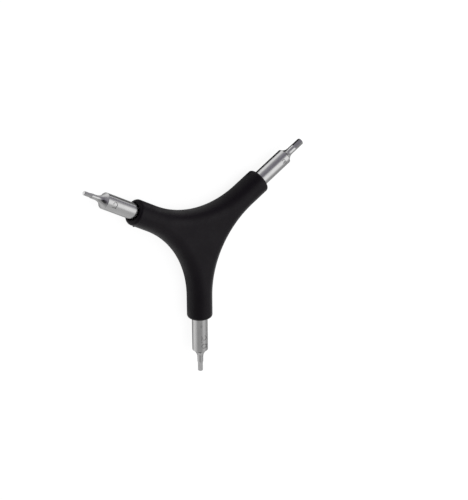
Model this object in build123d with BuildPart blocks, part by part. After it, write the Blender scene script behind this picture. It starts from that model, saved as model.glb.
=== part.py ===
from build123d import *

import os
from math import acos, atan2, cos, degrees, radians, sin, tan

# A Y-shaped hex wrench. Lengths are in millimetres, angles in degrees.
# The origin is the centre of the handle's flat underside, with +Z up.
# Three arms leave the middle 120 degrees apart, and each holds one turned steel blade.
# The first arm's azimuth is measured from +X.
first_azimuth = 30

# Handle: a soft grip moulded over a rigid core
grip_d = 12.9
side_r = 48.3
arm_reach = 43.3
arm_end_round = 1.5
mouth_gap = 0.6
mouth_depth = 1.2
skin = 1.25
core_wall = 1.6
core_end_ease = 0.4

# Rings turned into the core's arms, which the grip's material fills, to lock the two together
lock_ring_count = 2
lock_ring_depth = 0.6
lock_ring_w = 2.2
lock_ring_land = 2.2

# Shank of a blade, outside the handle
shank_d = 8.0
shank_show = 18.05
shoulder_ease = 0.25

# Tail of a blade, inside the core
tail_start = 10.0
tail_chamfer = 0.5
tail_flat_depth = 0.6
tail_flat_len = 9.0
ring_count = 3
ring_depth = 0.6
ring_w = 1.8
ring_land = 2.2

# Tip of a blade, beyond the shoulder: most of its cone is rounded into the neck
tip_len = 12.1
cone_angle = 50
root_share = 0.82
neck_stock = 0.05
cutter_r = 3.0
tip_chamfer = 0.35
hex_sides = 6
small_hex = 2.0
middle_hex = 2.5
large_hex = 3.0
small_hex_start = 8.6
middle_hex_start = 7.9
large_hex_start = 7.5

# Engraved size numbers
digit_h = 2.6
digit_w = 2.3
digit_gap = 0.85
point_d = 0.5
stroke_w = 0.36
stroke_depth = 0.2
small_mark_back = 4.15
middle_mark_back = 5.3
large_mark_back = 3.3

# One length by which a cutting shape passes the surface that it cuts
overrun = 1.0

# Sizes that follow from the ones above
grip_r = grip_d / 2
mid_z = grip_r
core_r = grip_r - skin
shank_r = shank_d / 2
tail_r = core_r - core_wall
seat_x = arm_reach - mouth_depth
shoulder_x = arm_reach + shank_show
tip_x = shoulder_x + tip_len


class Blade:
    """Sizes and turns of one blade: turns are about its axis, from +Z, clockwise seen from its tip."""

    def __init__(self, node, hex_af, hex_start, hex_turn, mark, mark_back, mark_turn, reads_outward=False):
        self.node = node
        self.hex_af = hex_af
        self.hex_x = shoulder_x + hex_start
        self.hex_turn = hex_turn
        self.mark = mark
        self.mark_x = shoulder_x - mark_back
        self.mark_turn = mark_turn
        self.reads_outward = reads_outward
        self.neck_r = hex_af / 2 / cos(radians(180 / hex_sides)) + neck_stock


blades = (
    Blade("blade_3mm", large_hex, large_hex_start, 20.65, "3", large_mark_back, -6.5),
    Blade("blade_2mm", small_hex, small_hex_start, 34.3, "2", small_mark_back, 2),
    Blade("blade_2_5mm", middle_hex, middle_hex_start, 6.7, "2.5", middle_mark_back, 4, reads_outward=True),
)

# The blades are evenly spread, in that order, and each has its arm of the handle.
half_spread = 180 / len(blades)
for place, blade in enumerate(blades):
    blade.azimuth = first_azimuth + place * 2 * half_spread
arm_azimuths = [blade.azimuth for blade in blades]
side_azimuths = [azimuth + half_spread for azimuth in arm_azimuths]

# The handle's concave sides are arcs tangent to the arms on either side of them.
side_turn = 180 - 2 * half_spread
bend_r = side_r + grip_r
bend_centre = bend_r / sin(radians(half_spread))
arm_root = bend_centre * cos(radians(half_spread))


def polar(radius, azimuth):
    """Point at the handle's middle height, at a distance and a direction from the origin."""
    return Vector(radius * cos(radians(azimuth)), radius * sin(radians(azimuth)), mid_z)


def upright(origin, azimuth, turn=0):
    """Plane whose local X runs level along the azimuth, and whose local Y is +Z turned about it."""
    along = Vector(cos(radians(azimuth)), sin(radians(azimuth)), 0)
    up = Vector(0, 0, 1).rotate(Axis((0, 0, 0), along), turn)
    return Plane(origin=origin, x_dir=along, z_dir=along.cross(up))


def arm_plane(azimuth, turn=0):
    """Plane that holds an arm's axis as its local X, turned about that axis."""
    return upright(polar(0, azimuth), azimuth, turn)


def arm_axis(azimuth):
    """Axis of an arm, pointing out of the handle."""
    return Axis(polar(0, azimuth), polar(1, azimuth) - polar(0, azimuth))


def y_form(section_r, reach, end_round):
    """Y of round arms joined by a flat middle, with full-round edges along its concave sides."""
    with BuildPart() as form:
        with BuildSketch(Plane.XY.offset(mid_z - section_r)):
            with BuildLine():
                for azimuth in side_azimuths:
                    centre = polar(bend_centre, azimuth)
                    start = azimuth + 90 + half_spread
                    CenterArc((centre.X, centre.Y), bend_r, start, side_turn)
            make_face()
        extrude(amount=2 * section_r)
        for azimuth in side_azimuths:
            centre = polar(bend_centre, azimuth)
            with BuildSketch(upright(centre, azimuth + 90 + half_spread)):
                with BuildLine():
                    bow = CenterArc((bend_r, 0), section_r, 90, 180)
                    Line(bow @ 1, bow @ 0)
                make_face()
            revolve(axis=Axis(centre, (0, 0, 1)), revolution_arc=side_turn)
        for azimuth in arm_azimuths:
            with BuildSketch(arm_plane(azimuth)):
                with BuildLine():
                    FilletPolyline(
                        (arm_root, 0),
                        (arm_root, section_r),
                        (reach, section_r),
                        (reach, 0),
                        radius=(0, end_round),
                    )
                    Line((reach, 0), (arm_root, 0))
                make_face()
            revolve(axis=arm_axis(azimuth))
    return form.part


def stroke(start, end):
    """Round-ended straight stroke of a number, in the open sketch."""
    run = Vector(end) - Vector(start)
    with Locations((Vector(start) + Vector(end)) / 2):
        SlotCenterToCenter(run.length, stroke_w, rotation=degrees(atan2(run.Y, run.X)))


def bow_stroke(centre, radius, start_angle, arc_size):
    """Round-ended curved stroke of a number, in the open sketch."""
    SlotArc(CenterArc(centre, radius, start_angle, arc_size, mode=Mode.PRIVATE), stroke_w)


def draw_two(left):
    """Digit 2: a hook that runs into a slope, and a foot."""
    hook_r = digit_w / 2
    centre = Vector(left + hook_r, digit_h / 2 - hook_r)
    foot = Vector(left, -digit_h / 2)
    to_foot = foot - centre
    slope_start = degrees(atan2(to_foot.Y, to_foot.X) + acos(hook_r / to_foot.length))
    hook_start = 170
    with BuildLine() as outline:
        hook = CenterArc(centre, hook_r, hook_start, slope_start - hook_start)
        Line(hook @ 1, foot)
        Line(foot, foot + Vector(digit_w, 0))
        offset(amount=stroke_w / 2)
    make_face(outline.edges())


def draw_three(left):
    """Digit 3: two bows that cross at the waist."""
    bow_r = digit_h / 4 + stroke_w / 3
    middle = left + digit_w / 2
    rise = digit_h / 2 - bow_r
    bow_stroke(Vector(middle, rise), bow_r, 150, -250)
    bow_stroke(Vector(middle, -rise), bow_r, 100, -250)


def draw_five(left):
    """Digit 5: a flag, a back and a bow."""
    bow_r = digit_w / 2
    bow_start = 140
    centre = Vector(left + bow_r, bow_r - digit_h / 2)
    joint = centre + Vector(bow_r * cos(radians(bow_start)), bow_r * sin(radians(bow_start)))
    corner = Vector(joint.X, digit_h / 2)
    bow_stroke(centre, bow_r, bow_start, -2 * bow_start)
    stroke(joint, corner)
    stroke(corner, Vector(left + digit_w, digit_h / 2))


def draw_point(left):
    """Decimal point, on the foot line of the digits."""
    with Locations((left + point_d / 2, point_d / 2 - stroke_w / 2 - digit_h / 2)):
        Circle(point_d / 2)


characters = {
    "2": (draw_two, digit_w),
    "3": (draw_three, digit_w),
    "5": (draw_five, digit_w),
    ".": (draw_point, point_d),
}


def mark_cut(blade):
    """Shape that engraves a blade's size number, to an even depth under the round shank."""
    reading = arm_plane(blade.azimuth, blade.mark_turn)
    face = Plane(
        origin=reading.origin + reading.x_dir * blade.mark_x,
        x_dir=reading.x_dir if blade.reads_outward else -reading.x_dir,
        z_dir=reading.y_dir,
    )
    width = sum(characters[c][1] for c in blade.mark) + digit_gap * (len(blade.mark) - 1)
    with BuildPart() as cut:
        with BuildSketch(face):
            left = -width / 2
            for character in blade.mark:
                draw, advance = characters[character]
                draw(left)
                left += advance + digit_gap
        extrude(amount=shank_r + overrun)
        with BuildSketch(arm_plane(blade.azimuth)):
            with Locations((blade.mark_x, 0)):
                Rectangle(width + 2 * overrun, shank_r - stroke_depth, align=(Align.CENTER, Align.MIN))
        revolve(axis=arm_axis(blade.azimuth), mode=Mode.SUBTRACT)
    return cut.part


def blade_outline(blade):
    """Half section of a blade, from its buried tail to its tip."""
    neck_x = shoulder_x + (shank_r - blade.neck_r) / tan(radians(cone_angle))
    cone_run = (shank_r - blade.neck_r) / sin(radians(cone_angle))
    root_round = root_share * (cone_run / tan(radians(cone_angle / 2)) - shoulder_ease)
    outline = [(tail_start, 0, 0), (tail_start, tail_r - tail_chamfer, 0), (tail_start + tail_chamfer, tail_r, 0)]
    ring_x = tail_start + tail_flat_len
    for _ in range(ring_count):
        ring_x += ring_land
        outline.append((ring_x, tail_r, 0))
        outline.append((ring_x, tail_r - ring_depth, 0))
        ring_x += ring_w
        outline.append((ring_x, tail_r - ring_depth, 0))
        outline.append((ring_x, tail_r, 0))
    outline.append((seat_x, tail_r, 0))
    outline.append((seat_x, shank_r, 0))
    outline.append((shoulder_x, shank_r, shoulder_ease))
    outline.append((neck_x, blade.neck_r, root_round))
    outline.append((tip_x - tip_chamfer, blade.neck_r, 0))
    outline.append((tip_x, blade.neck_r - tip_chamfer, 0))
    outline.append((tip_x, 0, 0))
    return outline


def make_blade(blade, number):
    """One blade: a turned bar with a flatted, ringed tail and a milled hex tip."""
    with BuildPart() as body:
        with BuildSketch(arm_plane(blade.azimuth, blade.hex_turn + 180)):
            with BuildLine():
                outline = blade_outline(blade)
                FilletPolyline(
                    [(x, y) for x, y, _ in outline],
                    radius=[rounding for _, _, rounding in outline[1:-1]],
                )
                Line((tip_x, 0), (tail_start, 0))
            make_face()
        revolve(axis=arm_axis(blade.azimuth))
        for side in range(hex_sides):
            with BuildSketch(arm_plane(blade.azimuth, blade.hex_turn + side * 360 / hex_sides)):
                with BuildLine():
                    flat = blade.hex_af / 2
                    far = tip_x + overrun
                    run_out = CenterArc((blade.hex_x, flat + cutter_r), cutter_r, 180, 90)
                    Polyline(run_out @ 1, (far, flat), (far, flat + cutter_r), run_out @ 0)
                make_face()
            extrude(amount=blade.neck_r, both=True, mode=Mode.SUBTRACT)
        for side in range(2):
            with BuildSketch(arm_plane(blade.azimuth, blade.hex_turn + side * 180)):
                with Locations((tail_start - overrun, tail_r - tail_flat_depth)):
                    Rectangle(tail_flat_len + overrun, tail_r, align=(Align.MIN, Align.MIN))
            extrude(amount=tail_r + overrun, both=True, mode=Mode.SUBTRACT)
        add(number, mode=Mode.SUBTRACT)
    return body.part


# Blades
parts = []
for blade in blades:
    piece = make_blade(blade, mark_cut(blade))
    piece.label = blade.node
    parts.append(piece)
blade_parts = list(parts)

# Core: moulded round the three tails, with rings near its mouths that key the grip to it
with BuildPart() as core:
    add(y_form(core_r, seat_x, core_end_ease))
    for azimuth in arm_azimuths:
        with BuildSketch(arm_plane(azimuth)):
            ring_x = seat_x
            for _ in range(lock_ring_count):
                ring_x -= lock_ring_land + lock_ring_w
                with Locations((ring_x, core_r - lock_ring_depth)):
                    Rectangle(lock_ring_w, lock_ring_depth + overrun, align=(Align.MIN, Align.MIN))
        revolve(axis=arm_axis(azimuth), mode=Mode.SUBTRACT)
    for piece in blade_parts:
        add(piece, mode=Mode.SUBTRACT)
core.part.label = "core"
parts.append(core.part)

# Grip: the handle's outer form, with a small round recess where each shank leaves it
with BuildPart() as grip:
    add(y_form(grip_r, arm_reach, arm_end_round))
    for azimuth in arm_azimuths:
        with BuildSketch(arm_plane(azimuth)):
            with Locations((seat_x, 0)):
                Rectangle(mouth_depth + overrun, shank_r + mouth_gap, align=(Align.MIN, Align.MIN))
        revolve(axis=arm_axis(azimuth), mode=Mode.SUBTRACT)
    add(core.part, mode=Mode.SUBTRACT)
    for piece in blade_parts:
        add(piece, mode=Mode.SUBTRACT)
grip.part.label = "grip"
parts.append(grip.part)

os.makedirs("parts", exist_ok=True)
for piece in parts:
    export_step(piece, f"parts/{piece.label}.step")
    print(piece.label, "volume", round(piece.volume, 1), "solids", len(piece.solids()))
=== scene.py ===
"""Looks of a Y-shaped hex wrench: its finishes, its small moulding marks, and the studio around it."""

import logging
import math
from dataclasses import dataclass
from enum import Enum

import bmesh
import bpy
from mathutils import Matrix, Vector


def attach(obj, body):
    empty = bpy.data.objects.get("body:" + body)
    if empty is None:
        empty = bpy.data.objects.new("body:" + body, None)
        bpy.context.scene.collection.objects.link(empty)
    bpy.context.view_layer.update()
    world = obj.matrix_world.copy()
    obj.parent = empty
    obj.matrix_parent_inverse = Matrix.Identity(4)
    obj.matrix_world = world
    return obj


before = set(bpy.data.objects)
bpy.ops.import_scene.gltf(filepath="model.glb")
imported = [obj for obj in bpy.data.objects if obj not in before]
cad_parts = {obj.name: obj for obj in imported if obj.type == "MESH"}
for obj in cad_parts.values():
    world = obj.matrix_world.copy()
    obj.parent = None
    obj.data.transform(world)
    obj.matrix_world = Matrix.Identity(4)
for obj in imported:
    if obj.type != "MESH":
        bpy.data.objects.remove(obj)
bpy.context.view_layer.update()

LOG = logging.getLogger("y_wrench")
MM = 0.001
ROOT = "root"
GRIP_RADIUS = 6.45
MID_HEIGHT = GRIP_RADIUS * MM
WHITE = (1.0, 1.0, 1.0)

Colour = tuple[float, float, float]
Place = tuple[float, float, float]
Range = tuple[float, float]
Socket = bpy.types.NodeSocket
Source = Socket | float | tuple[float, ...]
Inputs = dict[str | int, Source]


class Slot(Enum):
    """The record's material slots."""

    GRIP = "grip"
    CORE = "core"
    BLADE = "blade"


class Effect(Enum):
    """Surface effects that more than one finish uses, each built once as a node group."""

    ARM_PLACE = "arm_place"
    MOTTLE = "mottle"
    EDGE_WEAR = "edge_wear"
    SPECKS = "specks"


class Kind(Enum):
    """Kinds of socket on a group."""

    NUMBER = "NodeSocketFloat"
    VECTOR = "NodeSocketVector"


class Waves(Enum):
    """Kinds of noise: how many octaves each has, and how much the finer ones count."""

    SOFT = (3.0, 0.55)
    BROKEN = (3.0, 0.6)
    FINE = (2.0, 0.6)
    FIBRES = (2.0, 0.7)
    RINGS = (3.0, 0.7)


class Wiring:
    """Adds nodes to one node tree and joins their sockets."""

    def __init__(self, tree: bpy.types.NodeTree) -> None:
        """Keeps the tree and empties it.

        Args:
            tree: The node tree of a material, a world or a group.
        """
        self.tree = tree
        self.tree.nodes.clear()

    def add(self, kind: str, inputs: Inputs | None = None, **settings: object) -> bpy.types.Node:
        """Adds one node.

        Args:
            kind: The node's type name.
            inputs: Values or sockets for its inputs, by name or place.
            settings: Attributes to set before the inputs are joined.

        Returns:
            The new node.
        """
        node = self.tree.nodes.new(kind)
        for name, value in settings.items():
            setattr(node, name, value)
        for key, value in (inputs or {}).items():
            self.feed(node.inputs[key], value)
        return node

    def feed(self, socket: Socket, value: Source) -> None:
        """Joins a socket to another socket, or sets its own value.

        Args:
            socket: The input that is fed.
            value: An output socket, a number, a vector or a colour.
        """
        if isinstance(value, bpy.types.NodeSocket):
            self.tree.links.new(value, socket)
        elif isinstance(value, tuple) and socket.type == "RGBA" and len(value) == 3:
            socket.default_value = (*value, 1.0)
        else:
            socket.default_value = value

    def maths(self, operation: str, *values: Source, clamp: bool = False) -> Socket:
        """Adds a math node.

        Args:
            operation: The math node's operation.
            values: One or two numbers or sockets.
            clamp: Whether the result stays from 0 to 1.

        Returns:
            The result's socket.
        """
        node = self.add("ShaderNodeMath", dict(enumerate(values)), operation=operation, use_clamp=clamp)
        return node.outputs[0]

    def vector(self, operation: str, *values: Source) -> bpy.types.Node:
        """Adds a vector math node.

        Args:
            operation: The vector math node's operation.
            values: Vectors or sockets.

        Returns:
            The node, whose outputs are a vector and a value.
        """
        return self.add("ShaderNodeVectorMath", dict(enumerate(values)), operation=operation)

    def scaled(self, vector: Socket, factor: Source) -> Socket:
        """Returns the socket of a vector times a number."""
        node = self.add("ShaderNodeVectorMath", {0: vector, "Scale": factor}, operation="SCALE")
        return node.outputs["Vector"]

    def spread(
        self, value: Source, low: float, high: float, to_low: float = 0.0, to_high: float = 1.0
    ) -> Socket:
        """Maps a range smoothly to another one, and holds it beyond the ends.

        Args:
            value: The number or socket that is mapped.
            low: The value that gives to_low.
            high: The value that gives to_high.
            to_low: The result at low.
            to_high: The result at high.

        Returns:
            The result's socket.
        """
        node = self.add(
            "ShaderNodeMapRange",
            {"Value": value, "From Min": low, "From Max": high, "To Min": to_low, "To Max": to_high},
            interpolation_type="SMOOTHSTEP",
        )
        return node.outputs["Result"]

    def noise(self, place: Socket, scale: Source, waves: Waves, on_line: bool = False) -> Socket:
        """Adds a noise texture.

        Args:
            place: The point that it reads, or the distance along a line.
            scale: How many waves to a unit of the place.
            waves: The kind of noise.
            on_line: Whether the place is a distance along a line.

        Returns:
            The value's socket, around one half.
        """
        detail, roughness = waves.value
        node = self.add(
            "ShaderNodeTexNoise",
            {"W" if on_line else "Vector": place, "Scale": scale, "Detail": detail, "Roughness": roughness},
            noise_dimensions="1D" if on_line else "3D",
        )
        return node.outputs["Fac"]

    def blend(self, share: Source, first: Source, second: Source) -> Socket:
        """Mixes two colours.

        Args:
            share: How much of the second colour shows.
            first: The first colour.
            second: The second colour.

        Returns:
            The mixed colour's socket.
        """
        node = self.add("ShaderNodeMix", data_type="RGBA")
        sockets = {s.identifier: s for s in node.inputs}
        self.feed(sockets["Factor_Float"], share)
        self.feed(sockets["A_Color"], first)
        self.feed(sockets["B_Color"], second)
        return next(s for s in node.outputs if s.identifier == "Result_Color")

    def layer(self, below: Source, mask: Socket, share: float, colour: Colour) -> Socket:
        """Lays a colour over another one.

        Args:
            below: The colour that it lies on.
            mask: Where it lies, from 0 to 1.
            share: How much of it shows where the mask is 1.
            colour: The colour that is laid on.

        Returns:
            The mixed colour's socket.
        """
        return self.blend(self.maths("MULTIPLY", mask, share), below, colour)

    def bump(self, *parts: tuple[Socket, float]) -> Socket:
        """Adds a bump node for a relief.

        Args:
            parts: Each part of the relief: its mask, and its height in metres.

        Returns:
            The normal's socket.
        """
        heights = [self.maths("MULTIPLY", mask, height) for mask, height in parts]
        relief = heights[0]
        for height in heights[1:]:
            relief = self.maths("ADD", relief, height)
        node = self.add("ShaderNodeBump", {"Strength": 1.0, "Distance": 1.0, "Height": relief})
        return node.outputs["Normal"]

    def object_place(self) -> Socket:
        """Returns the socket of the point in the object's own frame."""
        return self.add("ShaderNodeTexCoord").outputs["Object"]

    def group(self, effect: Effect, inputs: Inputs) -> bpy.types.Node:
        """Places a shared effect.

        Args:
            effect: The effect.
            inputs: Values or sockets for its inputs.

        Returns:
            The group's node.
        """
        node = self.tree.nodes.new("ShaderNodeGroup")
        node.node_tree = bpy.data.node_groups[effect.value]
        for key, value in inputs.items():
            self.feed(node.inputs[key], value)
        return node

    def glow(self, strength: Source, colour: Source = WHITE) -> bpy.types.Node:
        """Returns the node of an emission."""
        return self.add("ShaderNodeEmission", {"Color": colour, "Strength": strength})

    def show(self, shader: bpy.types.Node) -> None:
        """Joins a shader to the material's surface."""
        self.add("ShaderNodeOutputMaterial", {"Surface": shader.outputs[0]})


@dataclass(frozen=True)
class EffectKit:
    """Builds the node groups of the shared effects, each of them once, with what all finishes share."""

    patch_range: Range = (0.32, 0.68)
    bevel_samples: int = 6
    bend_range: Range = (0.02, 0.2)
    broken_range: Range = (0.35, 0.6)
    rarity: float = 1.25
    speck_edge: float = 0.06

    def build(self) -> None:
        """Builds every group."""
        self.arm_place()
        self.mottle()
        self.edge_wear()
        self.specks()
        LOG.info("shared effects: %s", ", ".join(effect.value for effect in Effect))

    def start(
        self, effect: Effect, inputs: dict[str, Kind], outputs: dict[str, Kind]
    ) -> tuple[Wiring, bpy.types.Node, bpy.types.Node]:
        """Makes an empty group with its sockets.

        Args:
            effect: The effect, whose value is the group's name.
            inputs: Each input's kind of socket, by name.
            outputs: Each output's kind of socket, by name.

        Returns:
            The wiring of the group, its input node and its output node.
        """
        tree = bpy.data.node_groups.new(effect.value, "ShaderNodeTree")
        for side, sockets in (("INPUT", inputs), ("OUTPUT", outputs)):
            for name, kind in sockets.items():
                tree.interface.new_socket(name=name, in_out=side, socket_type=kind.value)
        wiring = Wiring(tree)
        return wiring, wiring.add("NodeGroupInput"), wiring.add("NodeGroupOutput")

    def arm_place(self) -> None:
        """Place on one arm, in millimetres: how far along it, and how far from its axis."""
        wiring, given, result = self.start(
            Effect.ARM_PLACE,
            {"Direction": Kind.VECTOR},
            {"Along": Kind.NUMBER, "Radius": Kind.NUMBER, "Off Axis": Kind.VECTOR},
        )
        direction = given.outputs["Direction"]
        from_axis = wiring.vector("SUBTRACT", wiring.object_place(), (0.0, 0.0, MID_HEIGHT))
        place = wiring.scaled(from_axis.outputs["Vector"], 1 / MM)
        along = wiring.vector("DOT_PRODUCT", place, direction).outputs["Value"]
        off_axis = wiring.vector("SUBTRACT", place, wiring.scaled(direction, along)).outputs["Vector"]
        wiring.feed(result.inputs["Along"], along)
        wiring.feed(result.inputs["Radius"], wiring.vector("LENGTH", off_axis).outputs["Value"])
        wiring.feed(result.inputs["Off Axis"], off_axis)

    def mottle(self) -> None:
        """Uneven patches: soft large ones with finer ones over them."""
        wiring, given, result = self.start(
            Effect.MOTTLE,
            {"Scale": Kind.NUMBER, "Fine": Kind.NUMBER, "Share": Kind.NUMBER},
            {"Mask": Kind.NUMBER},
        )
        scale, fine_factor, share = (given.outputs[name] for name in ("Scale", "Fine", "Share"))
        place = wiring.object_place()
        large = wiring.noise(place, scale, Waves.SOFT)
        fine = wiring.noise(place, wiring.maths("MULTIPLY", scale, fine_factor), Waves.FINE)
        fine_part = wiring.maths("MULTIPLY", wiring.maths("SUBTRACT", fine, large), share)
        both = wiring.maths("ADD", large, fine_part)
        wiring.feed(result.inputs["Mask"], wiring.spread(both, *self.patch_range))

    def edge_wear(self) -> None:
        """Edges that handling has rubbed: where a rounded normal leaves the true one."""
        wiring, given, result = self.start(
            Effect.EDGE_WEAR,
            {"Width": Kind.NUMBER, "Break Up": Kind.NUMBER},
            {"Mask": Kind.NUMBER},
        )
        radius = {"Radius": given.outputs["Width"]}
        rounded = wiring.add("ShaderNodeBevel", radius, samples=self.bevel_samples).outputs["Normal"]
        true_normal = wiring.add("ShaderNodeNewGeometry").outputs["True Normal"]
        agreement = wiring.vector("DOT_PRODUCT", rounded, true_normal).outputs["Value"]
        bent = wiring.spread(wiring.maths("SUBTRACT", 1.0, agreement), *self.bend_range)
        patches = wiring.noise(wiring.object_place(), given.outputs["Break Up"], Waves.BROKEN)
        broken = wiring.spread(patches, *self.broken_range)
        wiring.feed(result.inputs["Mask"], wiring.maths("MULTIPLY", bent, broken))

    def specks(self) -> None:
        """Sparse small specks of dust or pits, in the few cells whose random colour is long enough."""
        wiring, given, result = self.start(
            Effect.SPECKS,
            {"Scale": Kind.NUMBER, "Size": Kind.NUMBER},
            {"Mask": Kind.NUMBER},
        )
        cell = wiring.add(
            "ShaderNodeTexVoronoi",
            {"Vector": wiring.object_place(), "Scale": given.outputs["Scale"]},
            feature="F1",
        )
        length = wiring.vector("LENGTH", cell.outputs["Color"]).outputs["Value"]
        kept = wiring.maths("GREATER_THAN", length, self.rarity)
        near = wiring.maths("SUBTRACT", given.outputs["Size"], cell.outputs["Distance"])
        speck = wiring.spread(near, 0.0, self.speck_edge)
        wiring.feed(result.inputs["Mask"], wiring.maths("MULTIPLY", speck, kept))


@dataclass(frozen=True)
class Mottle:
    """One finish's patches: waves to a metre, how much finer the fine ones are, and their share."""

    waves: float
    finer: float
    fine_share: float

    def mask(self, wiring: Wiring) -> Socket:
        """Returns the patches' mask."""
        inputs = {"Scale": self.waves, "Fine": self.finer, "Share": self.fine_share}
        return wiring.group(Effect.MOTTLE, inputs).outputs["Mask"]


@dataclass(frozen=True)
class Wear:
    """One finish's rubbed edges: their width in millimetres, and waves to a metre of the gaps in them."""

    width: float
    waves: float

    def mask(self, wiring: Wiring) -> Socket:
        """Returns the rubbed edges' mask."""
        inputs = {"Width": self.width * MM, "Break Up": self.waves}
        return wiring.group(Effect.EDGE_WEAR, inputs).outputs["Mask"]


@dataclass(frozen=True)
class Specks:
    """One finish's specks: cells to a metre, and a speck's reach as a share of its cell."""

    cells: float
    reach: float

    def mask(self, wiring: Wiring) -> Socket:
        """Returns the specks' mask."""
        return wiring.group(Effect.SPECKS, {"Scale": self.cells, "Size": self.reach}).outputs["Mask"]


def new_material(name: str) -> tuple[bpy.types.Material, Wiring]:
    """Makes an empty node material.

    Args:
        name: The material's name.

    Returns:
        The material and the wiring of its nodes.
    """
    material = bpy.data.materials.new(name)
    material.use_nodes = True
    return material, Wiring(material.node_tree)


@dataclass(frozen=True)
class SoftTouchRubber:
    """Matt black elastomer of the grip, with a fine moulded grain and a parting line at mid-height."""

    colour: Colour = (0.0046, 0.0028, 0.0052)
    rubbed: Colour = (0.0087, 0.0064, 0.0095)
    dust: Colour = (0.034, 0.031, 0.034)
    specular: float = 0.126
    roughness_low: float = 0.38
    roughness_high: float = 0.50
    patches: Mottle = Mottle(waves=90.0, finer=9.0, fine_share=0.35)
    patch_share: float = 0.35
    # The rubbed edges are partly real wear and partly a painted sheen along the edges.
    wear: Wear = Wear(width=0.5, waves=700.0)
    wear_share: float = 0.7
    specks: Specks = Specks(cells=520.0, reach=0.10)
    dust_share: float = 0.5
    grain_waves: float = 5200.0
    grain_height: float = 0.000012
    seam_half_width: float = 0.07 * MM
    seam_height: float = 0.00003

    def material(self) -> bpy.types.Material:
        """Makes the finish.

        Returns:
            The finish as a material.
        """
        material, wiring = new_material("soft_touch_rubber")
        place = wiring.object_place()
        patches = self.patches.mask(wiring)
        colour = wiring.layer(self.colour, patches, self.patch_share, self.rubbed)
        # Lighter edges: partly real wear, partly a painted sheen along the grip's edges.
        colour = wiring.layer(colour, self.wear.mask(wiring), self.wear_share, self.rubbed)
        colour = wiring.layer(colour, self.specks.mask(wiring), self.dust_share, self.dust)
        grain = wiring.noise(place, self.grain_waves, Waves.FINE)
        height = wiring.add("ShaderNodeSeparateXYZ", {"Vector": place}).outputs["Z"]
        off_seam = wiring.maths("ABSOLUTE", wiring.maths("SUBTRACT", height, MID_HEIGHT))
        seam = wiring.spread(off_seam, 0.0, self.seam_half_width, 1.0, 0.0)
        inputs = {
            "Base Color": colour,
            "Roughness": wiring.spread(patches, 0.0, 1.0, self.roughness_high, self.roughness_low),
            "Specular IOR Level": self.specular,
            "Normal": wiring.bump((grain, self.grain_height), (seam, self.seam_height)),
        }
        wiring.show(wiring.add("ShaderNodeBsdfPrincipled", inputs))
        return material


@dataclass(frozen=True)
class MouldedNylon:
    """Black glass-filled nylon of the hidden core, with the flow marks of its moulding."""

    colour: Colour = (0.020, 0.020, 0.021)
    flow: Colour = (0.036, 0.036, 0.038)
    roughness_low: float = 0.42
    roughness_high: float = 0.58
    patches: Mottle = Mottle(waves=140.0, finer=14.0, fine_share=0.5)
    fibre_waves: float = 3600.0
    fibre_height: float = 0.00001

    def material(self) -> bpy.types.Material:
        """Makes the finish.

        Returns:
            The finish as a material.
        """
        material, wiring = new_material("moulded_nylon")
        patches = self.patches.mask(wiring)
        fibres = wiring.noise(wiring.object_place(), self.fibre_waves, Waves.FIBRES)
        inputs = {
            "Base Color": wiring.blend(patches, self.colour, self.flow),
            "Roughness": wiring.spread(patches, 0.0, 1.0, self.roughness_low, self.roughness_high),
            "Normal": wiring.bump((fibres, self.fibre_height)),
        }
        wiring.show(wiring.add("ShaderNodeBsdfPrincipled", inputs))
        return material


@dataclass(frozen=True)
class DullSpot:
    """A thumb-worn spot on a shank, in millimetres and degrees. It fades between two shares of its size."""

    along: float = 47.2
    roll: float = 24.0
    half_length: float = 1.0
    half_width: float = 0.75
    fade: Range = (0.3, 1.2)
    share: float = 0.3


@dataclass(frozen=True)
class Blade:
    """One turned blade: its arm's direction in degrees, and places along that arm in millimetres."""

    node: str
    azimuth: float
    mark_from: float
    mark_to: float
    hex_from: float
    spot: DullSpot | None = None


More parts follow.
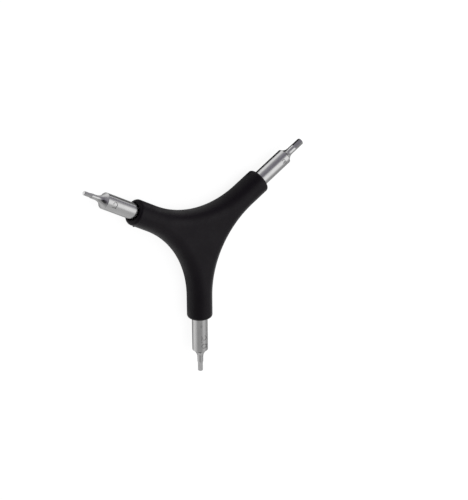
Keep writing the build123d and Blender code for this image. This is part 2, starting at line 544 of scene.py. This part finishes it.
@dataclass(frozen=True)
class SatinChrome:
    """Satin chrome over one blade's turned steel: fine rings round the shank, and a milled tip.

    Places and depths are in millimetres, as on the blade, and the heights of rings and satin in metres.
    """

    blade: Blade
    shank_radius: float = 4.0
    colour: Colour = (0.422, 0.42, 0.42)
    dull: Colour = (0.361, 0.36, 0.36)
    oxide: Colour = (0.10, 0.10, 0.10)
    edge_tint: float = 0.55
    roughness: float = 0.2
    dull_roughness: float = 0.32
    patches: Mottle = Mottle(waves=260.0, finer=7.0, fine_share=0.5)
    patch_share: float = 0.45
    wear: Wear = Wear(width=0.12, waves=1500.0)
    wear_share: float = 0.6
    pits: Specks = Specks(cells=1100.0, reach=0.10)
    pit_share: float = 0.2
    tip_fade: Range = (-1.0, 0.3)
    tip_share: float = 0.5
    mark_margin: float = 0.1
    cut_depths: Range = (0.14, 0.03)
    cut_share: float = 0.25
    cut_roughness: float = 0.15
    ring_waves: float = 9.0
    ring_height: float = 0.0000022
    satin_waves: float = 9000.0
    satin_height: float = 0.0000008

    def material(self) -> bpy.types.Material:
        """Makes the finish.

        Returns:
            The finish as a material.
        """
        material, wiring = new_material(f"satin_chrome_{self.blade.node}")
        turn = math.radians(self.blade.azimuth)
        direction = (math.cos(turn), math.sin(turn), 0.0)
        arm = wiring.group(Effect.ARM_PLACE, {"Direction": direction}).outputs
        along = arm["Along"]
        patches = wiring.maths("MULTIPLY", self.patches.mask(wiring), self.patch_share)
        tip = wiring.spread(along, *(self.blade.hex_from + offset for offset in self.tip_fade))
        dullness = wiring.maths("ADD", patches, wiring.maths("MULTIPLY", tip, self.tip_share), clamp=True)
        cut = self.strokes(wiring, along, arm["Radius"])
        colour = wiring.blend(dullness, self.colour, self.dull)
        colour = wiring.layer(colour, self.pits.mask(wiring), self.pit_share, self.oxide)
        colour = wiring.layer(colour, cut, self.cut_share, self.oxide)
        if self.blade.spot:
            worn = self.worn(wiring, self.blade.spot, along, arm["Off Axis"])
            colour = wiring.layer(colour, worn, self.blade.spot.share, self.oxide)
        colour = wiring.layer(colour, self.wear.mask(wiring), self.wear_share, self.colour)
        roughness = wiring.spread(dullness, 0.0, 1.0, self.roughness, self.dull_roughness)
        rings = wiring.noise(along, self.ring_waves, Waves.RINGS, on_line=True)
        satin = wiring.noise(wiring.object_place(), self.satin_waves, Waves.FINE)
        inputs = {
            "Base Color": colour,
            "Metallic": 1.0,
            "Specular Tint": (self.edge_tint,) * 3,
            "Roughness": wiring.maths("ADD", roughness, wiring.maths("MULTIPLY", cut, self.cut_roughness)),
            "Normal": wiring.bump((rings, self.ring_height), (satin, self.satin_height)),
        }
        wiring.show(wiring.add("ShaderNodeBsdfPrincipled", inputs))
        return material

    def strokes(self, wiring: Wiring, along: Socket, radius: Socket) -> Socket:
        """Finds the cut strokes of the blade's number, which are in full from the first depth down.

        Args:
            wiring: The wiring of the material.
            along: Place along the arm, in millimetres.
            radius: Distance from the arm's axis, in millimetres.

        Returns:
            The socket of the strokes' mask.
        """
        start, end = self.blade.mark_from, self.blade.mark_to
        marked = wiring.maths(
            "MULTIPLY",
            wiring.spread(along, start - self.mark_margin, start),
            wiring.spread(along, end, end + self.mark_margin, 1.0, 0.0),
        )
        deep, shallow = (self.shank_radius - depth for depth in self.cut_depths)
        return wiring.maths("MULTIPLY", marked, wiring.spread(radius, deep, shallow, 1.0, 0.0))

    def worn(self, wiring: Wiring, spot: DullSpot, along: Socket, off_axis: Socket) -> Socket:
        """Finds the dull spot of the blade's shank.

        Args:
            wiring: The wiring of the material.
            spot: The spot.
            along: Place along the arm, in millimetres.
            off_axis: Place off the arm's axis, in millimetres.

        Returns:
            The socket of the spot's mask.
        """
        turn, roll = math.radians(self.blade.azimuth), math.radians(spot.roll)
        out = Vector((math.sin(turn) * math.sin(roll), -math.cos(turn) * math.sin(roll), math.cos(roll)))
        across = wiring.vector("DISTANCE", off_axis, tuple(out * self.shank_radius)).outputs["Value"]
        lengthwise = wiring.maths("DIVIDE", wiring.maths("SUBTRACT", along, spot.along), spot.half_length)
        crosswise = wiring.maths("DIVIDE", across, spot.half_width)
        squares = [wiring.maths("POWER", part, 2.0) for part in (lengthwise, crosswise)]
        reach = wiring.maths("SQRT", wiring.maths("ADD", *squares))
        return wiring.spread(reach, *spot.fade, 1.0, 0.0)


def dress(node: str, material: bpy.types.Material) -> bpy.types.Object:
    """Gives a CAD node one finish on all its faces.

    Args:
        node: The CAD node's name.
        material: The finish.

    Returns:
        The node's object.
    """
    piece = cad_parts[node]
    piece.data.materials.clear()
    piece.data.materials.append(material)
    return piece


def in_scene(name: str, mesh: bmesh.types.BMesh) -> bpy.types.Object:
    """Turns a mesh that is being built into an object of the scene.

    Args:
        name: The object's name, and its mesh's.
        mesh: The mesh, which is freed.

    Returns:
        The new object.
    """
    data = bpy.data.meshes.new(name)
    mesh.to_mesh(data)
    mesh.free()
    piece = bpy.data.objects.new(name, data)
    bpy.context.scene.collection.objects.link(piece)
    return piece


def flat_sheet(name: str, width: float, length: float) -> bpy.types.Object:
    """Makes a flat rectangle round its own origin.

    Args:
        name: The object's name.
        width: Its size along X, in metres.
        length: Its size along Y, in metres.

    Returns:
        The new object.
    """
    x, y = width / 2, length / 2
    corners = ((-x, -y, 0.0), (x, -y, 0.0), (x, y, 0.0), (-x, y, 0.0))
    mesh = bmesh.new()
    mesh.faces.new([mesh.verts.new(corner) for corner in corners])
    return in_scene(name, mesh)


@dataclass
class Handle:
    """The handle: its soft grip, the hidden core, and the small vestige of the mould's gate."""

    gate_arm: float = 150.0
    gate_along: float = 40.0
    gate_roll: float = -84.0
    gate_length: float = 1.0
    gate_width: float = 0.7
    gate_stand: float = 0.32
    gate_subdivisions: int = 4
    ragged_share: float = 0.12
    ragged_waves: tuple[float, float] = (5.1, 4.3)
    ragged_start: float = 2.0

    def build(self) -> list[bpy.types.Object]:
        """Dresses the CAD nodes and adds the gate's vestige.

        Returns:
            The handle's pieces.
        """
        rubber = SoftTouchRubber().material()
        grip = dress("grip", rubber)
        core = dress("core", MouldedNylon().material())
        return [grip, core, self.add_gate(rubber)]

    def ragged(self, point: Vector) -> float:
        """Finds how far the bump's rough skin stands.

        Args:
            point: A point of a unit sphere.

        Returns:
            The distance at that point as a share, around 1.
        """
        first, second = self.ragged_waves
        wave = math.sin(first * point.x + self.ragged_start) * math.cos(second * point.y)
        return 1.0 + self.ragged_share * wave

    def add_gate(self, rubber: bpy.types.Material) -> bpy.types.Object:
        """Adds the low rough bump that the mould's gate left beside the parting line.

        Args:
            rubber: The grip's finish.

        Returns:
            The bump.
        """
        turn, roll = math.radians(self.gate_arm), math.radians(self.gate_roll)
        along = Vector((math.cos(turn), math.sin(turn), 0.0))
        side = Vector((-along.y, along.x, 0.0))
        up = Vector((0.0, 0.0, 1.0))
        out = up * math.cos(roll) - side * math.sin(roll)
        mesh = bmesh.new()
        bmesh.ops.create_icosphere(mesh, subdivisions=self.gate_subdivisions, radius=1.0)
        for vertex in mesh.verts:
            ragged = self.ragged(vertex.co)
            vertex.co.x *= self.gate_length / 2 * ragged
            vertex.co.y *= self.gate_width / 2
            vertex.co.z *= self.gate_stand * ragged
        place = Matrix((along, out.cross(along), out)).transposed().to_4x4()
        place.translation = along * self.gate_along + (up + out) * GRIP_RADIUS
        mesh.transform(Matrix.Scale(MM, 4) @ place)
        piece = in_scene("gate_vestige", mesh)
        for face in piece.data.polygons:
            face.use_smooth = True
        piece.data.materials.append(rubber)
        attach(piece, ROOT)
        return piece


@dataclass
class BladeSet:
    """The three turned blades, each with its own numbers and tip."""

    blades: tuple[Blade, ...] = (
        Blade("blade_2mm", azimuth=150.0, mark_from=55.8, mark_to=58.6, hex_from=69.95),
        Blade("blade_2_5mm", azimuth=270.0, mark_from=52.4, mark_to=59.8, hex_from=69.25, spot=DullSpot()),
        Blade("blade_3mm", azimuth=30.0, mark_from=56.6, mark_to=59.5, hex_from=68.85),
    )

    def build(self) -> list[bpy.types.Object]:
        """Dresses the CAD nodes and returns them."""
        return [dress(blade.node, SatinChrome(blade).material()) for blade in self.blades]


@dataclass(frozen=True)
class Panel:
    """A soft-edged patch of the tent, brighter or darker than its cloth: place and reach in degrees."""

    name: str
    azimuth: float
    elevation: float
    inner: float
    outer: float
    level: float

    def direction(self) -> Place:
        """Returns the unit vector from the wrench to the patch's middle."""
        turn, rise = math.radians(self.azimuth), math.radians(self.elevation)
        return (math.cos(rise) * math.cos(turn), math.cos(rise) * math.sin(turn), math.sin(rise))

    def light(self, wiring: Wiring, direction: Socket) -> Socket:
        """Wires the patch's own light.

        Args:
            wiring: The wiring of the tent's material.
            direction: The unit vector from the wrench to the shaded point.

        Returns:
            The light's socket.
        """
        near = wiring.vector("DOT_PRODUCT", direction, self.direction()).outputs["Value"]
        inner, outer = math.cos(math.radians(self.inner)), math.cos(math.radians(self.outer))
        return wiring.spread(near, outer, inner, 0.0, self.level)


@dataclass(frozen=True)
class Card:
    """A flag, reflector or painted shadow card that lies on the floor, in millimetres and degrees: only
    glossy rays see it.
    """

    name: str
    centre: tuple[float, float]
    size: tuple[float, float]
    azimuth: float
    level: float
    soft: float = 8.0
    lift: float = 0.3

    def build(self) -> bpy.types.Object:
        """Builds the card.

        Returns:
            The card.
        """
        width, length = (side * MM for side in self.size)
        card = flat_sheet(self.name.replace(" ", "_"), width, length)
        card.location = (self.centre[0] * MM, self.centre[1] * MM, self.lift * MM)
        card.rotation_euler.z = math.radians(self.azimuth)
        for ray in ("camera", "diffuse", "shadow", "transmission", "volume_scatter"):
            setattr(card, f"visible_{ray}", False)
        material, wiring = new_material(f"{card.name}_cloth")
        place = wiring.add("ShaderNodeSeparateXYZ", {"Vector": wiring.object_place()})
        solid = wiring.maths(
            "MULTIPLY",
            self.inside(wiring, place.outputs["X"], width / 2),
            self.inside(wiring, place.outputs["Y"], length / 2),
        )
        clear = wiring.add("ShaderNodeBsdfTransparent")
        layers = {0: solid, 1: clear.outputs[0], 2: wiring.glow(self.level).outputs[0]}
        wiring.show(wiring.add("ShaderNodeMixShader", layers))
        material.cycles.emission_sampling = "NONE"
        card.data.materials.append(material)
        return card

    def inside(self, wiring: Wiring, place: Socket, half: float) -> Socket:
        """Fades the card out towards two of its edges.

        Args:
            wiring: The wiring of the card's material.
            place: Place across those edges, in metres.
            half: Half of the card's size that way, in metres.

        Returns:
            The socket of the card's cover, from 0 at those edges to 1.
        """
        depth = wiring.maths("SUBTRACT", half, wiring.maths("ABSOLUTE", place))
        return wiring.spread(depth, 0.0, self.soft * MM)


@dataclass
class Studio:
    """Plain pale studio: the floor, the light tent, the cards beside the wrench, and the camera."""

    floor_size: float = 12.0
    floor_drop: float = 0.00002
    floor_colour: float = 0.15
    floor_glow: float = 0.93
    # The next six fields set the painted shadow that dims the floor's glow near the wrench.
    shade_reach: float = 0.014
    shade_samples: int = 8
    floor_shade: float = 0.08
    floor_shade_range: Range = (0.0, 0.6)
    mirrored_shade: float = 0.85
    mirrored_shade_range: Range = (0.2, 1.0)
    tent_radius: float = 1.6
    tent_segments: int = 48
    tent_rings: int = 24
    cloth_level: float = 0.55
    darkest: float = 0.02
    tint_colour: Colour = (0.98, 0.925, 1.12)
    tint_rearward: Range = (0.0, 0.35)
    tint_levels: Range = (0.1, 0.9)
    panels: tuple[Panel, ...] = (
        Panel("window", azimuth=13.0, elevation=60.0, inner=8.0, outer=38.5, level=1.19),
        Panel("left fill", azimuth=-80.0, elevation=0.0, inner=10.0, outer=45.0, level=0.37),
        Panel("rear glow", azimuth=98.0, elevation=-20.0, inner=6.0, outer=28.0, level=1.05),
        Panel("near glow", azimuth=-150.0, elevation=-25.0, inner=12.0, outer=48.0, level=0.5),
        Panel("upper fill", azimuth=-62.0, elevation=52.0, inner=8.0, outer=28.0, level=0.27),
        Panel("side fill", azimuth=-22.0, elevation=29.0, inner=4.0, outer=20.0, level=0.24),
        Panel("near fill", azimuth=-142.0, elevation=44.0, inner=6.0, outer=26.0, level=0.06),
        Panel("rear shade", azimuth=92.0, elevation=47.0, inner=8.0, outer=34.0, level=-0.19),
        Panel("camera shade", azimuth=165.0, elevation=50.5, inner=18.0, outer=33.0, level=-0.51),
        Panel("low rear shade", azimuth=44.0, elevation=6.0, inner=8.0, outer=32.0, level=-0.14),
        Panel("low right shade", azimuth=-38.0, elevation=-15.0, inner=10.0, outer=34.0, level=-0.12),
    )
    cards: tuple[Card, ...] = (
        Card("rear flag", (-21.4, 39.0), (46.0, 36.0), -30.0, 0.25),
        Card("rear reflector", (39.8, 56.5), (34.0, 46.0), 30.0, 1.55, soft=4.0),
        # Painted shadow: a dark card where the floor under the 3 mm shank lies in the wrench's shade, seen
        # only by mirror rays.
        Card("rear under shadow card", (48.41, 33.15), (37.0, 10.6), 30.0, 0.06, soft=1.5, lift=0.4),
        Card("left reflector", (-53.1, 56.05), (26.0, 30.0), -30.0, 1.45, soft=4.0),
        Card("tip reflector", (-69.5, 39.6), (9.0, 9.0), -30.0, 2.2, soft=2.0),
        Card("near reflector", (-20.0, -58.0), (32.0, 36.0), 0.0, 1.32),
        # Painted shadow: a dark card where the floor under the 2.5 mm shank lies in the wrench's shade,
        # seen only by mirror rays.
        Card("near under shadow card", (-1.5, -53.5), (9.0, 17.0), 0.0, 0.42, soft=2.0, lift=0.4),
        Card("side flag", (60.0, 2.0), (56.0, 48.0), 30.0, 0.78),
    )
    camera_place: Place = (-0.3709, 0.2611, 0.5395)
    camera_forward: Place = (0.54785, -0.38207, -0.74422)
    camera_up: Place = (0.2292, 0.9242, -0.3057)
    sensor_width: float = 36.0
    focal_pixels: float = 1425.1
    photo_pixels: float = 500.0

    def build(self) -> list[bpy.types.Object]:
        """Builds the floor, the lights and the camera.

        Returns:
            The floor, the tent and the cards.
        """
        floor = self.add_floor()
        self.add_world()
        tent = self.add_tent()
        cards = [card.build() for card in self.cards]
        self.add_camera()
        bpy.context.scene.view_settings.view_transform = "Standard"
        return [floor, tent, *cards]

    def add_floor(self) -> bpy.types.Object:
        """Adds the pale floor that the wrench lies on, whose glow carries a painted shadow near the wrench.

        Returns:
            The floor.
        """
        floor = flat_sheet("floor", self.floor_size, self.floor_size)
        floor.location.z = -self.floor_drop
        material, wiring = new_material("pale_floor")
        path = wiring.add("ShaderNodeLightPath").outputs
        mirrored = wiring.maths("MAXIMUM", path["Is Glossy Ray"], path["Is Transmission Ray"])
        seen = wiring.maths("MAXIMUM", mirrored, path["Is Camera Ray"])
        # Painted shadow: ambient occlusion dims the glow near the wrench, faintly where the camera sees it
        # and more deeply in what mirrors see.
        reach = {"Distance": self.shade_reach}
        open_sky = wiring.add("ShaderNodeAmbientOcclusion", reach, samples=self.shade_samples).outputs["AO"]
        near = wiring.spread(open_sky, *self.floor_shade_range, self.floor_shade, 0.0)
        wide = wiring.spread(open_sky, *self.mirrored_shade_range, self.mirrored_shade, 0.0)
        shadow = wiring.maths("MAXIMUM", near, wiring.maths("MULTIPLY", mirrored, wide))
        lit = wiring.maths("SUBTRACT", 1.0, shadow)
        glow = wiring.glow(wiring.maths("MULTIPLY", wiring.maths("MULTIPLY", seen, lit), self.floor_glow))
        matt = wiring.add("ShaderNodeBsdfDiffuse", {"Color": (self.floor_colour,) * 3})
        wiring.show(wiring.add("ShaderNodeAddShader", {0: glow.outputs[0], 1: matt.outputs[0]}))
        floor.data.materials.append(material)
        return floor

    def add_world(self) -> None:
        """Sets the white of the room beyond the tent."""
        world = bpy.data.worlds.new("room")
        bpy.context.scene.world = world
        world.use_nodes = True
        wiring = Wiring(world.node_tree)
        back = wiring.add("ShaderNodeBackground", {"Color": WHITE, "Strength": 1.0})
        wiring.add("ShaderNodeOutputWorld", {"Surface": back.outputs[0]})

    def add_tent(self) -> bpy.types.Object:
        """Adds the light tent that the wrench is in: even cloth with its brighter and darker patches.

        Returns:
            The tent.
        """
        mesh = bmesh.new()
        bmesh.ops.create_uvsphere(
            mesh, u_segments=self.tent_segments, v_segments=self.tent_rings, radius=self.tent_radius
        )
        tent = in_scene("light_tent", mesh)
        tent.visible_camera = False
        material, wiring = new_material("tent_cloth")
        direction = wiring.vector("NORMALIZE", wiring.object_place()).outputs["Vector"]
        level: Source = self.cloth_level
        for panel in self.panels:
            level = wiring.maths("ADD", level, panel.light(wiring, direction))
            LOG.info("patch of the tent: %s", panel.name)
        level = wiring.maths("MAXIMUM", level, self.darkest)
        rearward = wiring.add("ShaderNodeSeparateXYZ", {"Vector": direction}).outputs["Y"]
        shaded = wiring.maths(
            "MULTIPLY",
            wiring.spread(rearward, *self.tint_rearward),
            wiring.spread(level, *self.tint_levels, 1.0, 0.0),
        )
        wiring.show(wiring.glow(level, wiring.blend(shaded, WHITE, self.tint_colour)))
        material.cycles.emission_sampling = "NONE"
        tent.data.materials.append(material)
        return tent

    def add_camera(self) -> None:
        """Adds the photograph's camera: its focal length and the picture's longer side are in pixels."""
        data = bpy.data.cameras.new("camera")
        data.sensor_width = self.sensor_width
        data.lens = self.focal_pixels / self.photo_pixels * self.sensor_width
        camera = bpy.data.objects.new("camera", data)
        back = -Vector(self.camera_forward).normalized()
        up = Vector(self.camera_up)
        up = (up - back * up.dot(back)).normalized()
        right = up.cross(back)
        turn = Matrix((right, up, back)).transposed()
        camera.matrix_world = Matrix.Translation(Vector(self.camera_place)) @ turn.to_4x4()
        bpy.context.scene.collection.objects.link(camera)
        bpy.context.scene.camera = camera


def main() -> None:
    """Builds the finishes, the handle, the blades and the studio, in that order."""
    logging.basicConfig(level=logging.INFO, format="%(message)s")
    EffectKit().build()
    for assembly in (Handle(), BladeSet(), Studio()):
        for piece in assembly.build():
            faces = len(piece.data.polygons)
            LOG.info("%s: %s, %d faces", piece.name, piece.data.materials[0].name, faces)


if __name__ == "__main__":
    main()
